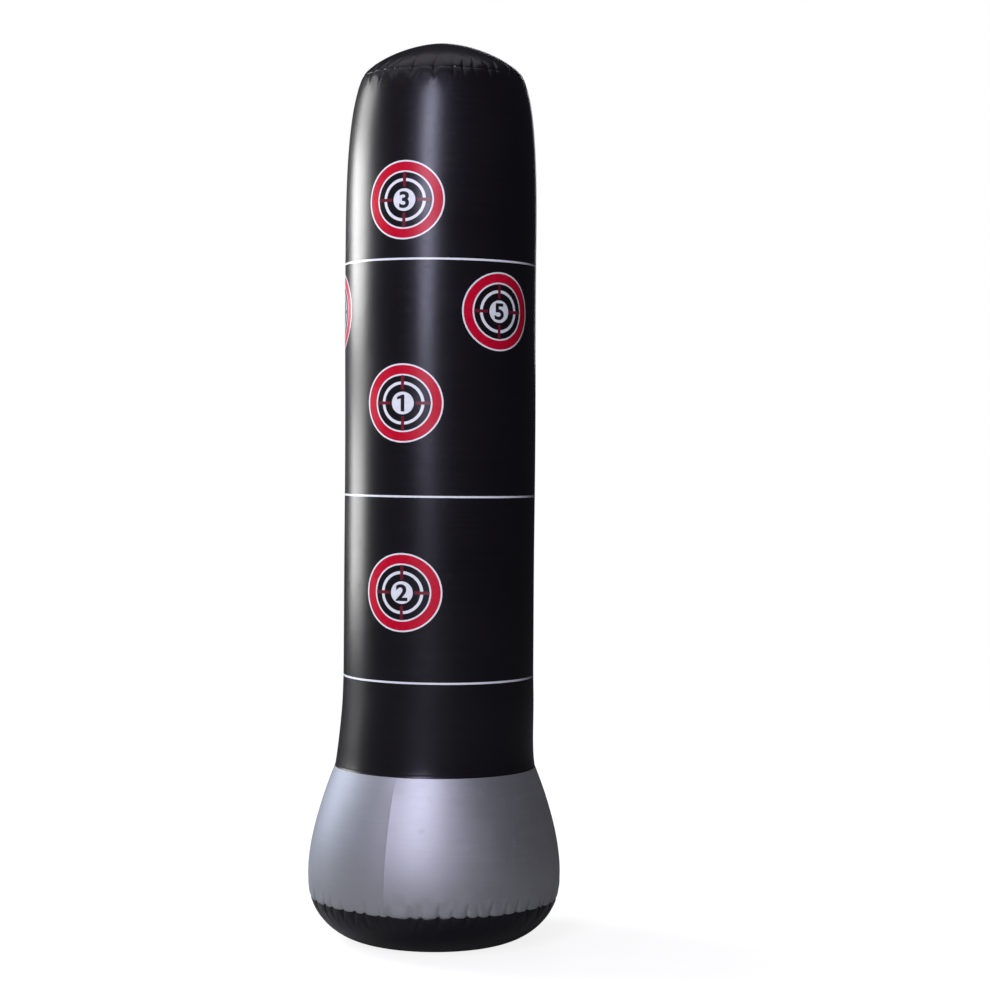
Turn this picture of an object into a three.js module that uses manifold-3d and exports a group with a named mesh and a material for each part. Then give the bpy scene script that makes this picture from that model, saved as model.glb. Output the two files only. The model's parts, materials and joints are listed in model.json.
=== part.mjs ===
// A free-standing inflatable boxing bag, in millimetres, +Z up, standing on z = 0 with its axis on x = y = 0.
//
// The skin is PVC sheet, cut flat and welded: a round top panel, a rolled column sheet, three gores that
// flare into the base, and a round bottom panel. A membrane at the neck parts the air chamber above from the
// water chamber below. The front faces -Y. Each chamber is filled at the rear through a screw valve: a collar
// whose flange is welded behind the sheet, with a gasket, a cap and the cap's leash. The air valve also has a
// one-way flap.

import * as THREE from "three";
import { mergeVertices } from "three/addons/utils/BufferGeometryUtils.js";
import Module from "manifold-3d";

const wasm = await Module();
wasm.setup();

// The inflated skin.
const HEIGHT = 1558;
const COLUMN_RADIUS = 166;
const BELLY_RADIUS = 221; // the widest part of the base
const REST_RADIUS = 116; // the flat patch that the weight of the water presses on the floor
const BOTTOM_SEAM = { radius: 215, z: 75 };
const NECK = { radius: 175, z: 302 }; // where the base gores meet the column sheet
const FLEX_TOP = 400; // the column sheet bends below this height, and stays straight above it
const FOOT_Z = 466; // the column has its full, even radius from here
const SHOULDER_Z = 1240; // to here
const TOP_SEAM = { radius: 139.5, z: 1497.5 };
const GORES = { left: -1, right: 0, rear: 1 }; // the third of the base each one covers, from the front seam

// Sheets and welds.
const SHEET = 0.4;
const GAP = 0.3; // between two pieces that touch
const WELD_LIP = 7; // width of the welded edge of a panel

// Inside.
const WATER_LEVEL = 100;
const DIVIDER_RISE = 18; // how far the floor of the air chamber domes

// Facets.
const TURNS = 40; // segments round the bag
const SMALL_TURNS = 24; // segments round a valve
const CURVE_STEPS = 7;

// Screw valves. Heights are along the valve's axis, from the outer face of the sheet; out is positive.
const AIR_VALVE = { name: "air_valve", z: 600, bore: 11, collar: 14.5, flange: 30, depth: 11, cap: 18.5 };
const WATER_VALVE = { name: "water_valve", z: 150, bore: 15, collar: 19, flange: 36, depth: 12, cap: 23.5 };
const HOLE_CLEARANCE = 0.5;
const FLANGE_THICKNESS = 0.8;
const CUTTER_REACH = 30;
const COLLAR_TOP = 3.5;
const GASKET = { low: COLLAR_TOP + GAP, high: COLLAR_TOP + 1.1 };
const LEASH = { thickness: 1, width: 6, low: 0.7, high: GASKET.high + 2 * GAP };
const CAP = { low: LEASH.high + LEASH.thickness + GAP, thickness: 3.4, bevel: 0.8, notches: 16 };
const PLUG = { clearance: 0.5, wall: 1.6, end: -4 };
const FLAP_THICKNESS = 1.2;

function finish(color, roughness) {
  return new THREE.MeshStandardMaterial({ color, roughness, metalness: 0 });
}

const BLACK_VINYL = finish(0x121115, 0.32);
const GREY_VINYL = finish(0x8c8fa8, 0.38);
const NATURAL_VINYL = finish(0xb8bcc4, 0.45);
const CAP_PLASTIC = finish(0x17171a, 0.45);
const RUBBER = finish(0x2a2a2c, 0.8);
const WATER = finish(0x9fc4d6, 0.05);

const bag = new THREE.Group();

function add(name, geometry, material, group = bag) {
  const mesh = new THREE.Mesh(geometry, material);
  mesh.name = name;
  group.add(mesh);
}

// ---------------------------------------------------------------- solids

// A closed geometry as a manifold-3d solid. Triangles that shrink to a line when vertices merge are left out.
function solidOf(geometry) {
  const bare = new THREE.BufferGeometry();
  bare.setAttribute("position", geometry.getAttribute("position"));
  bare.setIndex(geometry.index);
  const merged = mergeVertices(bare, 1e-4);
  const corners = merged.index.array;
  const kept = [];
  for (let i = 0; i < corners.length; i += 3) {
    const [a, b, c] = corners.subarray(i, i + 3);
    if (a !== b && b !== c && c !== a) kept.push(a, b, c);
  }
  const mesh = new wasm.Mesh({
    numProp: 3,
    vertProperties: merged.attributes.position.array,
    triVerts: new Uint32Array(kept),
  });
  return new wasm.Manifold(mesh);
}

// A manifold-3d solid as a geometry.
function geometryOf(solid) {
  const mesh = solid.getMesh();
  const corners = new Float32Array(mesh.numVert * 3);
  for (let i = 0; i < mesh.numVert; i++) {
    const from = i * mesh.numProp;
    corners.set(mesh.vertProperties.subarray(from, from + 3), i * 3);
  }
  const geometry = new THREE.BufferGeometry();
  geometry.setAttribute("position", new THREE.BufferAttribute(corners, 3));
  geometry.setIndex(new THREE.BufferAttribute(mesh.triVerts, 1));
  geometry.computeVertexNormals();
  return geometry;
}

// A profile of [radius, height] points turned round +Z. One that doesn't start and end on the axis is closed.
function turned(profile, segments = SMALL_TURNS) {
  const points = profile.map(([radius, height]) => new THREE.Vector2(radius, height));
  const onAxis = points[0].x === 0 && points.at(-1).x === 0;
  if (!onAxis) points.push(points[0].clone());
  const anticlockwise = THREE.ShapeUtils.area(points) > 0;
  if (!anticlockwise) points.reverse();
  return new THREE.LatheGeometry(points, segments).rotateX(Math.PI / 2);
}

function ring(inner, outer, low, high) {
  return turned([[inner, low], [outer, low], [outer, high], [inner, high]]);
}

function disc(radius, low, high) {
  return turned([[0, low], [radius, low], [radius, high], [0, high]]);
}

// ---------------------------------------------------------------- the skin's outline

function bezier(from, control1, control2, to) {
  const at = ([radius, z]) => new THREE.Vector2(radius, z);
  const curve = new THREE.CubicBezierCurve(at(from), at(control1), at(control2), at(to));
  return curve.getPoints(CURVE_STEPS).map((point) => [point.x, point.y]);
}

const seamBottom = [BOTTOM_SEAM.radius, BOTTOM_SEAM.z];
const neck = [NECK.radius, NECK.z];
const foot = [COLUMN_RADIUS, FOOT_Z];
const shoulder = [COLUMN_RADIUS, SHOULDER_Z];
const seamTop = [TOP_SEAM.radius, TOP_SEAM.z];

// The outline's stretches, from the floor up, each as [radius, height] points.
const OUTLINE = {
  bottom: [[0, 0], ...bezier([REST_RADIUS, 0], [164, 0], [206, 36], seamBottom)],
  base: bezier(seamBottom, [BELLY_RADIUS + 7, 122], [217, 198], neck),
  neck: bezier(neck, [170.5, 321], [167.5, 380], foot),
  column: [foot, ...bezier(shoulder, [165.5, 1331.3], [162.7, 1454.8], seamTop)],
  top: bezier(seamTop, [127.4, 1524.6], [50.7, HEIGHT], [0, HEIGHT]),
};

// The whole wall from the bottom seam to the top seam.
const WALL = [...OUTLINE.base, ...OUTLINE.neck.slice(1), ...OUTLINE.column.slice(1)];

// The part of an outline between two heights, with its ends cut exactly there.
function between(points, low, high) {
  const cutAt = (height) => {
    const after = points.findIndex(([, z]) => z >= height);
    const [r0, z0] = points[after - 1];
    const [r1, z1] = points[after];
    return [r0 + ((r1 - r0) * (height - z0)) / (z1 - z0), height];
  };
  const inside = points.filter(([, z]) => z > low && z < high);
  return [cutAt(low), ...inside, cutAt(high)];
}

// An outline moved in from the outer face by a depth, square to itself. A point on the axis stays on it.
function inset(points, depth) {
  return points.map(([radius, z], i) => {
    const [r0, z0] = points[Math.max(i - 1, 0)];
    const [r1, z1] = points[Math.min(i + 1, points.length - 1)];
    const length = Math.hypot(r1 - r0, z1 - z0);
    const inward = z > HEIGHT / 2 ? -depth : depth;
    if (radius === 0) return [0, z + inward];
    return [radius - (depth * (z1 - z0)) / length, z + (depth * (r1 - r0)) / length];
  });
}

// A sheet that follows an outline, from a depth under the outer face.
function sheet(points, depth = 0, thickness = SHEET) {
  const outer = inset(points, depth);
  const inner = inset(points, depth + thickness);
  return turned([...outer, ...inner.reverse()], TURNS);
}

// The start of an outline, as long as a weld.
function weldAlong([[r0, z0], [r1, z1]]) {
  const share = WELD_LIP / Math.hypot(r1 - r0, z1 - z0);
  return [[r0, z0], [r0 + (r1 - r0) * share, z0 + (z1 - z0) * share]];
}

// ---------------------------------------------------------------- skin

// A round panel with a lip that is folded back at the seam and welded behind the wall.
function bottomPanel() {
  const lip = weldAlong(OUTLINE.base);
  const lipOuter = inset(lip, SHEET + GAP);
  const lipInner = inset(lip, 2 * SHEET + GAP).reverse();
  const domeInner = inset(OUTLINE.bottom, SHEET).slice(0, -1).reverse();
  return turned([...OUTLINE.bottom, ...lipOuter, ...lipInner, ...domeInner], TURNS);
}

function topPanel() {
  const lip = weldAlong(OUTLINE.column.toReversed()).reverse();
  const lipOuter = inset(lip, SHEET + GAP);
  const lipInner = inset(lip, 2 * SHEET + GAP).reverse();
  const domeInner = inset(OUTLINE.top, SHEET).slice(1).reverse();
  return turned([...domeInner, ...lipInner, ...lipOuter, ...OUTLINE.top], TURNS);
}

// A third of the circle round +Z, less half a gap on each side. Third 0 starts at the front seam.
function wedge(third) {
  const reach = 2 * BELLY_RADIUS;
  const turn = (2 * Math.PI) / 3;
  const clearance = GAP / 2 / NECK.radius;
  const from = -Math.PI / 2 + third * turn + clearance;
  const to = from + turn - 2 * clearance;
  const shape = new THREE.Shape();
  shape.moveTo(0, 0);
  for (const angle of [from, (from + to) / 2, to]) {
    shape.lineTo(reach * Math.cos(angle), reach * Math.sin(angle));
  }
  return solidOf(new THREE.ExtrudeGeometry(shape, { depth: NECK.z + 1, bevelEnabled: false }));
}

function addSkin() {
  const base = sheet(between(OUTLINE.base, BOTTOM_SEAM.z + GAP, NECK.z));
  const gores = solidOf(base).subtract(holeFor(WATER_VALVE));
  const column = sheet(between(WALL, FLEX_TOP, TOP_SEAM.z - GAP));

  add("bottom_panel", bottomPanel(), BLACK_VINYL);
  for (const [side, third] of Object.entries(GORES)) {
    add(`base_gore_${side}`, geometryOf(gores.intersect(wedge(third))), GREY_VINYL);
  }
  add("neck_panel", sheet(between(WALL, NECK.z + GAP, FLEX_TOP - GAP)), BLACK_VINYL);
  add("column_panel", geometryOf(solidOf(column).subtract(holeFor(AIR_VALVE))), BLACK_VINYL);
  add("top_panel", topPanel(), BLACK_VINYL);
}

// ---------------------------------------------------------------- inside

// The membrane between the chambers, welded in just under the neck and domed.
function addDivider() {
  const rim = NECK.radius - SHEET - 1;
  const peak = NECK.z + DIVIDER_RISE;
  const above = bezier([rim, NECK.z], [rim * 0.85, peak], [rim * 0.4, peak], [0, peak]);
  const below = above.map(([radius, z]) => [Math.max(radius - SHEET, 0), z - SHEET]).reverse();
  const weld = [[rim - SHEET, NECK.z - WELD_LIP], [rim, NECK.z - WELD_LIP]];
  add("chamber_divider", turned([...below, ...weld, ...above], TURNS), NATURAL_VINYL);
}

// The water that holds the base down, with a level surface.
function addWater() {
  const wetWall = between(WALL, BOTTOM_SEAM.z + WELD_LIP, WATER_LEVEL);
  const bed = inset([...OUTLINE.bottom, ...wetWall], 2 * (SHEET + GAP));
  const [edge] = bed.pop();
  add("water_ballast", turned([...bed, [edge, WATER_LEVEL], [0, WATER_LEVEL]], TURNS), WATER);
}

// ---------------------------------------------------------------- screw valves

// A frame on the rear of the wall with its +Z along the valve's axis, square to the wall and out of the bag.
function valveFrame(valve) {
  const step = 6;
  const stretch = between(WALL, valve.z - step, valve.z + step);
  const narrowing = stretch[0][0] - stretch.at(-1)[0];
  const [[radius]] = between(WALL, valve.z, valve.z + step);
  const frame = new THREE.Group();
  frame.position.set(0, radius, valve.z);
  frame.rotation.x = Math.atan2(narrowing, 2 * step) - Math.PI / 2;
  frame.updateMatrix();
  return frame;
}

function holeFor(valve) {
  const hole = disc(valve.collar + HOLE_CLEARANCE, -CUTTER_REACH, CUTTER_REACH);
  return solidOf(hole.applyMatrix4(valveFrame(valve).matrix));
}

// The collar and its flange are one moulding. The flange follows the wall from behind.
function collar(valve) {
  const margin = valve.flange + 8;
  const nearby = between(WALL, valve.z - margin, valve.z + margin);
  const shell = solidOf(sheet(nearby, SHEET + GAP, FLANGE_THICKNESS));
  const frame = valveFrame(valve).matrix;
  const around = ring(valve.bore + 1, valve.flange, -CUTTER_REACH, CUTTER_REACH).applyMatrix4(frame);
  const tube = ring(valve.bore, valve.collar, -valve.depth, COLLAR_TOP).applyMatrix4(frame);
  return shell.intersect(solidOf(around)).add(solidOf(tube));
}

// The leash is a ring round the collar, a ring under the cap and a strap that doubles back between them.
function leash(valve) {
  const onCollar = ring(valve.collar + 0.6, valve.collar + 3.1, LEASH.low, LEASH.low + LEASH.thickness);
  const underCap = ring(valve.bore - 0.1, valve.collar - 0.3, LEASH.high, LEASH.high + LEASH.thickness);
  const half = LEASH.thickness / 2;
  const low = LEASH.low + half;
  const high = LEASH.high + half;
  const turnX = valve.cap + 5;
  const turnY = (low + high) / 2;
  const bend = (high - low) / 2;
  const side = new THREE.Shape();
  side.moveTo(valve.collar + 1.5, low - half);
  side.absarc(turnX, turnY, bend + half, -Math.PI / 2, Math.PI / 2, false);
  side.lineTo(valve.collar - 1.5, high + half);
  side.lineTo(valve.collar - 1.5, high - half);
  side.absarc(turnX, turnY, bend - half, Math.PI / 2, -Math.PI / 2, true);
  side.lineTo(valve.collar + 1.5, low + half);
  const shape = { depth: LEASH.width, bevelEnabled: false, curveSegments: 5 };
  const strap = new THREE.ExtrudeGeometry(side, shape);
  // The side view's x runs down the bag, which is +Y in the valve's frame, and its y runs out along +Z.
  strap.translate(0, 0, -LEASH.width / 2).rotateX(Math.PI / 2).rotateZ(Math.PI / 2);
  return solidOf(onCollar).add(solidOf(underCap)).add(solidOf(strap));
}

// The cap has a notched rim, a bar to turn it by, and a hollow plug that goes into the collar.
function cap(valve) {
  const high = CAP.low + CAP.thickness;
  const plug = valve.bore - PLUG.clearance;
  const body = turned([
    [0, high],
    [valve.cap - CAP.bevel, high],
    [valve.cap, high - CAP.bevel],
    [valve.cap, CAP.low],
    [plug, CAP.low],
    [plug, PLUG.end],
    [plug - PLUG.wall, PLUG.end],
    [plug - PLUG.wall, CAP.low + 1],
    [0, CAP.low + 1],
  ]);
  const bar = new THREE.BoxGeometry(2 * valve.cap - 8, 4, 5).translate(0, 0, high);
  let solid = solidOf(body).add(solidOf(bar));
  for (let i = 0; i < CAP.notches; i++) {
    const angle = (2 * Math.PI * (i + 0.5)) / CAP.notches;
    const reach = valve.cap + 0.9;
    const notch = new THREE.CylinderGeometry(1.5, 1.5, 4 * CAP.thickness, 6).rotateX(Math.PI / 2);
    notch.translate(reach * Math.cos(angle), reach * Math.sin(angle), CAP.low);
    solid = solid.subtract(solidOf(notch));
  }
  return solid;
}

// The one-way flap closes the collar's inner end.
function flap(valve) {
  const top = -valve.depth - GAP;
  return disc(valve.bore + 1.5, top - FLAP_THICKNESS, top);
}

function addValve(valve) {
  const frame = valveFrame(valve);
  add(`${valve.name}_collar`, geometryOf(collar(valve)), NATURAL_VINYL);
  const gasket = ring(valve.bore + 0.3, valve.collar - 0.3, GASKET.low, GASKET.high);
  add(`${valve.name}_gasket`, gasket, RUBBER, frame);
  add(`${valve.name}_leash`, geometryOf(leash(valve)), CAP_PLASTIC, frame);
  add(`${valve.name}_cap`, geometryOf(cap(valve)), CAP_PLASTIC, frame);
  bag.add(frame);
  return frame;
}

addSkin();
addDivider();
addWater();
const airValve = addValve(AIR_VALVE);
add("air_valve_flap", flap(AIR_VALVE), RUBBER, airValve);
addValve(WATER_VALVE);

export default bag;
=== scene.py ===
import contextlib
import json
import math

import bmesh
import bpy
import numpy as np
from mathutils import Matrix, Vector


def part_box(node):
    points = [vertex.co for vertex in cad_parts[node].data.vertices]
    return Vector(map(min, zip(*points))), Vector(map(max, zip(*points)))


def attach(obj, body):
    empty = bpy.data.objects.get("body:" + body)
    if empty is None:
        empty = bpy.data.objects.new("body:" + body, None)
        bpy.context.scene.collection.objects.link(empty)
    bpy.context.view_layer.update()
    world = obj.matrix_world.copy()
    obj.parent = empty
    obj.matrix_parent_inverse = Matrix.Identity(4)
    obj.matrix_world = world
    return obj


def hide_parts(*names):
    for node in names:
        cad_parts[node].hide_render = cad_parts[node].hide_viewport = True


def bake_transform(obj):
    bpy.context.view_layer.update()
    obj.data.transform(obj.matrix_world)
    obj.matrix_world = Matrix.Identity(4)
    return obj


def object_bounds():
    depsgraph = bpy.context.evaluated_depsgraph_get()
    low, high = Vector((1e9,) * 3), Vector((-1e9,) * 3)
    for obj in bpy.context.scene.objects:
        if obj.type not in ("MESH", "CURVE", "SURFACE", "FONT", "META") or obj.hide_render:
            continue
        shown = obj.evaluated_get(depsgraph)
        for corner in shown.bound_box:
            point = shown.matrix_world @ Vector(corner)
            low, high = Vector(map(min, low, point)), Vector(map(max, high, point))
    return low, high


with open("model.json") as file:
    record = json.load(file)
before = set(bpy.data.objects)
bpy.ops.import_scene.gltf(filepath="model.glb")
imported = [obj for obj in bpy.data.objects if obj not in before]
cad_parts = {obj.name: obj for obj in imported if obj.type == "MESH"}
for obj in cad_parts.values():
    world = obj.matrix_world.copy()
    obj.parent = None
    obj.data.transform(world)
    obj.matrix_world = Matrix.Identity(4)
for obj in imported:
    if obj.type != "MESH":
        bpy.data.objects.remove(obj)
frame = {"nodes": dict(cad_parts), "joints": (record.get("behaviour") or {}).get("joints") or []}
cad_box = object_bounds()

MM = 0.001

# ---- camera

CAMERA_TURN = 22.4  # degrees from the bag's front towards its right side
CAMERA_DISTANCE = 3.96
CAMERA_HEIGHT = 0.854
CAMERA_PITCH = -1.14
CAMERA_AIM_RIGHT = 1.45  # the bag stands left of the middle of the frame
CAMERA_ROLL = 0.58
LENS = 82.4


def add_object(name, data):
    made = bpy.data.objects.new(name, data)
    bpy.context.scene.collection.objects.link(made)
    return made


def make_camera():
    data = bpy.data.cameras.new("camera")
    data.sensor_width = 36
    data.lens = LENS
    data.clip_end = 60
    camera = add_object("camera", data)
    turn = math.radians(CAMERA_TURN)
    place = Vector((math.sin(turn), -math.cos(turn), 0)) * CAMERA_DISTANCE
    place.z = CAMERA_HEIGHT
    heading = Matrix.Rotation(turn - math.radians(CAMERA_AIM_RIGHT), 4, "Z")
    tilt = Matrix.Rotation(math.radians(90 + CAMERA_PITCH), 4, "X")
    roll = Matrix.Rotation(math.radians(CAMERA_ROLL), 4, "Z")
    camera.matrix_world = Matrix.Translation(place) @ heading @ tilt @ roll
    bpy.context.scene.camera = camera


make_camera()

# ---- the bag's outline, from the frame

HEIGHT = cad_box[1].z
NECK_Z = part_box("base_gore_left")[1].z
SEAM_TOP_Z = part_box("column_panel")[1].z
COLUMN_R = 166 * MM
REST_R = 116 * MM
FRONT = -math.pi / 2  # the angle of the bag's front, from +X


def bezier(start, control1, control2, end, steps=200):
    t = np.linspace(0, 1, steps + 1)[:, None]
    p0, p1, p2, p3 = (np.array(p, float) * MM for p in (start, control1, control2, end))
    return (1 - t) ** 3 * p0 + 3 * (1 - t) ** 2 * t * p1 + 3 * (1 - t) * t**2 * p2 + t**3 * p3


class Outline:
    """Half of the bag's section: [radius, z] points from below to above, measured along its length."""

    def __init__(self, *stretches):
        self.points = np.vstack([stretches[0]] + [s[1:] for s in stretches[1:]])
        steps = np.hypot(*np.diff(self.points, axis=0).T)
        self.along = np.concatenate([[0], np.cumsum(steps)])
        self.length = self.along[-1]

    def at(self, s):
        return np.column_stack([np.interp(s, self.along, self.points[:, k]) for k in (0, 1)])

    def tangent(self, s):
        ahead = self.at(np.asarray(s) + 0.5 * MM) - self.at(np.asarray(s) - 0.5 * MM)
        return ahead / np.hypot(ahead[:, 0], ahead[:, 1])[:, None]

    def place_of(self, z):
        return float(np.interp(z, self.points[:, 1], self.along))


SEAM_BOTTOM = (215, 75)
SEAM_TOP = (139.5, SEAM_TOP_Z / MM)
NECK = (175, NECK_Z / MM)
FOOT = (166, 466)
SHOULDER = (166, 1240)
TOP_Z = HEIGHT / MM

bottom_outline = Outline(
    np.array([(0, 0), (REST_R, 0)]),
    bezier((REST_R / MM, 0), (164, 0), (206, 36), SEAM_BOTTOM),
)
base_outline = Outline(bezier(SEAM_BOTTOM, (228, 122), (217, 198), NECK))
column_outline = Outline(
    bezier(NECK, (170.5, 321), (167.5, 380), FOOT),
    np.array([FOOT, SHOULDER]) * MM,
    bezier(SHOULDER, (165.5, 1331.3), (162.7, 1454.8), SEAM_TOP),
)
top_outline = Outline(bezier(SEAM_TOP, (127.4, 1524.6), (50.7, TOP_Z), (0, TOP_Z)))

# ---- how the skin strays from that outline

SHEET = 0.4 * MM
LAP = 7 * MM  # where one sheet goes under the next
LAP_DROP = 0.46 * MM
LIP = 5 * MM  # the welded edge that turns into the bag
# How far the upright bag strays to its right, and between which heights in metres.
LEANS = ((4.6 * MM, 0.30, 0.43), (-2.2 * MM, 0.74, 1.1), (1.6 * MM, 1.33, 1.55))
VALVES = {  # z is in metres, and the radii are in millimetres
    "air_valve": {
        "z": 0.6, "joint": "air_cap_turn", "bore": 11, "collar": 14.5, "cap": 18.5, "flange": 30,
    },
    "water_valve": {
        "z": 0.15, "joint": "water_cap_turn", "bore": 15, "collar": 19, "cap": 23.5, "flange": 36,
    },
}
VALVE_SIDE = 30 * MM  # the wall this far below a valve's face is still on its side of the bag
RIPPLE_SIZE = 0.34 * MM
# The column's waves: how many round it, how fast they climb, their phase and their share.
RIPPLES = (
    (2, 5.3, 0.4, 1.0),
    (3, -7.9, 2.1, 0.8),
    (5, 4.1, 4.4, 0.45),
    (1, 13.7, 1.3, 0.5),
    (7, -15.1, 0.9, 0.22),
)


def valve_matrix(valve):
    """The valve's own frame, from its cap's joint: +Z out of the bag along the axis, and +Y down."""
    joint = next(joint for joint in frame["joints"] if joint["name"] == valve["joint"])
    tilt = math.atan2(joint["axis"][2], joint["axis"][1])
    return Matrix.Translation(joint["pos_m"]) @ Matrix.Rotation(tilt - math.pi / 2, 4, "X")


def lean(points):
    """Points moved with the slight crookedness of the standing bag."""
    moved = points.copy()
    for size, start, end in LEANS:
        moved[..., 0] += size * fade(points[..., 2], start, end)
    return moved


def ripple(angle, z):
    """Long shallow unevenness of the rolled sheet, in metres, outwards."""
    total = sum(part * np.sin(k * angle + m * z + phase) for k, m, phase, part in RIPPLES)
    above_neck = fade(z, NECK_Z, NECK_Z + 0.16)
    below_seam = 1 - fade(z, SEAM_TOP_Z - 0.06, SEAM_TOP_Z)
    return RIPPLE_SIZE * total * above_neck * below_seam


def fade(value, start, end):
    """0 before start, 1 after end, and smooth between them."""
    t = np.clip((value - start) / (end - start), 0, 1)
    return t * t * (3 - 2 * t)


def valve_weld(valve, points):
    """The raised disc and the pressed ring where a valve's flange is welded behind the sheet."""
    into = np.array(valve_matrix(valve).inverted())
    local = points @ into[:3, :3].T + into[:3, 3]
    away = np.hypot(local[..., 0], local[..., 1])
    near = (local[..., 2] > -VALVE_SIDE).astype(float)
    flange = valve["flange"] * MM
    plate = 0.35 * MM * (1 - fade(away, flange - 1 * MM, flange + 3 * MM))
    ring = np.abs(away - flange + 4.5 * MM)
    groove = 0.28 * MM * (1 - fade(ring, 1.1 * MM, 1.9 * MM))
    return near * (plate - groove)


# ---- gathers beside the round welds


def make_folds(seed, count, width, lean_most):
    """Creases round a weld, each with its own angle, weight, width, reach and lean."""
    rng = np.random.default_rng(seed)
    step = 2 * math.pi / count
    return {
        "angle": (np.arange(count) + rng.uniform(-0.3, 0.3, count)) * step,
        "weight": rng.uniform(0.35, 1.25, count),
        "width": width * rng.uniform(0.75, 1.35, count),
        "reach": rng.uniform(0.55, 1.6, count),
        "lean": rng.uniform(-lean_most, lean_most, count),
    }


def valleys(folds, away, angles, radius, reach, spread):
    """How deep in a crease each point is, from 0 to about 1, by row and column."""
    away = np.asarray(away)[:, None]
    radius = np.asarray(radius)[:, None]
    total = np.zeros((len(away), len(angles)))
    for angle, weight, width, share, slant in zip(*folds.values()):
        turn = angles[None, :] - angle - slant * away / radius
        across = np.abs((turn + math.pi) % (2 * math.pi) - math.pi) * radius
        wide = width + spread * away
        total += weight * np.exp(-((across / wide) ** 1.5)) * np.exp(-((away / (reach * share)) ** 1.4))
    return total


PINCH_REACH = 1.7 * MM  # how far from a weld the sheets turn in
GATHER_REACH = 60 * MM  # how far the simulated sheet goes on each side of a weld
GATHER_ROWS = 41
EXCESS_REACH = 22 * MM  # how far from a weld the sheet is wider than the outline
CREASE_REACH = 15 * MM
CREASE_SPREAD = 0.12  # how much wider a crease gets for each metre from the weld
START_SIZE = 0.5 * MM  # the small creases that the simulation starts from
CLOTH_SCALE = 10  # the simulation runs on a bag ten times as large, where its numbers suit the sheet
CLOTH_FRAMES = 12
CLOTH = {
    "quality": 6,
    "mass": 0.02,
    "tension_stiffness": 40,
    "compression_stiffness": 40,
    "shear_stiffness": 20,
    "bending_stiffness": 0.5,
    "tension_damping": 1,
    "compression_damping": 1,
    "shear_damping": 1,
    "bending_damping": 0.1,
    "vertex_group_mass": "pinned",
    "vertex_group_shrink": "unchanged",
    "shrink_max": 0,
    "use_pressure": True,
    "uniform_pressure_force": 1,
}


def taps(place):
    """The four neighbours of each place on a row of numbers, with their weights on a smooth curve."""
    first = np.floor(place).astype(int)
    t = place - first
    weights = (-t + 2 * t**2 - t**3, 2 - 5 * t**2 + 3 * t**3, t + 4 * t**2 - 3 * t**3, -(t**2) + t**3)
    return [(first + k - 1, weight / 2) for k, weight in enumerate(weights)]


class Weld:
    """The gathers beside a round weld between a lower and an upper sheet."""

    def __init__(self, low, high, folds, columns, excess, pinch):
        self.columns, self.pinch = columns, pinch
        self.rows = np.linspace(-GATHER_REACH, GATHER_REACH, GATHER_ROWS)
        self.angles = FRONT + np.arange(columns) * 2 * math.pi / columns
        below = self.rows < 0
        under, over = low.length + self.rows[below], self.rows[~below]
        self.point = np.vstack([low.at(under), high.at(over)])
        self.tangent = np.vstack([low.tangent(under), high.tangent(over)])
        away, radius = np.abs(self.rows), self.point[:, 0]
        crease = valleys(folds, away, self.angles, radius, CREASE_REACH, CREASE_SPREAD)
        start = 0.85 * crease.mean(axis=1)[:, None] - crease
        self.out, self.along = self.simulated(START_SIZE * start, excess)

    def simulated(self, start, excess):
        """Cloth whose rings grow longer near the weld than the outline lets them be, so they buckle."""
        across, up = self.tangent[:, 0][:, None], self.tangent[:, 1][:, None]
        radius = self.point[:, 0][:, None] + start * up
        z = self.point[:, 1][:, None] - start * across
        grid = np.stack([radius * np.cos(self.angles), radius * np.sin(self.angles), z], axis=2)
        piece = grid_object("gathers", grid * CLOTH_SCALE, True, None, None)
        rows, columns = start.shape
        pinned = piece.vertex_groups.new(name="pinned")
        pinned.add([*range(columns), *range((rows - 1) * columns, rows * columns)], 1, "REPLACE")
        unchanged = piece.vertex_groups.new(name="unchanged")
        for i, place in enumerate(self.rows):
            share = 1 - math.exp(-((place / EXCESS_REACH) ** 2))
            unchanged.add([*range(i * columns, (i + 1) * columns)], share, "REPLACE")
        cloth = piece.modifiers.new("cloth", "CLOTH")
        for key, value in CLOTH.items():
            setattr(cloth.settings, key, value)
        cloth.settings.shrink_min = -excess
        cloth.settings.effector_weights.gravity = 0
        cloth.collision_settings.use_collision = False
        cloth.point_cache.frame_start, cloth.point_cache.frame_end = 1, CLOTH_FRAMES
        for frame_number in range(1, CLOTH_FRAMES + 1):
            bpy.context.scene.frame_set(frame_number)
        apply_modifiers(piece)
        flat = np.empty(3 * rows * columns)
        piece.data.vertices.foreach_get("co", flat)
        settled = flat.reshape(rows, columns, 3) / CLOTH_SCALE
        bpy.data.objects.remove(piece)
        bpy.context.scene.frame_set(1)
        outward = np.hypot(settled[:, :, 0], settled[:, :, 1])
        outward -= outward.mean(axis=1)[:, None]
        upward = settled[:, :, 2] - settled[:, :, 2].mean(axis=1)[:, None]
        return outward * up - upward * across, outward * across + upward * up

    def shift(self, from_weld, angles):
        """Shifts, outwards and along the outline, for each place from the weld and each angle."""
        last = GATHER_ROWS - 1
        row_at = np.clip((from_weld + GATHER_REACH) / (self.rows[1] - self.rows[0]), 0, last)
        column_at = (angles - FRONT) / (2 * math.pi) * self.columns
        found = []
        for grid in (self.out, self.along):
            rows = sum(grid[np.clip(i, 0, last)] * weight[:, None] for i, weight in taps(row_at))
            found.append(sum(rows[:, i % self.columns] * weight for i, weight in taps(column_at)))
        inside = (np.abs(from_weld) < GATHER_REACH)[:, None]
        pinch = self.pinch * np.exp(-np.abs(from_weld) / PINCH_REACH)[:, None]
        return found[0] * inside - pinch, found[1] * inside


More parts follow.
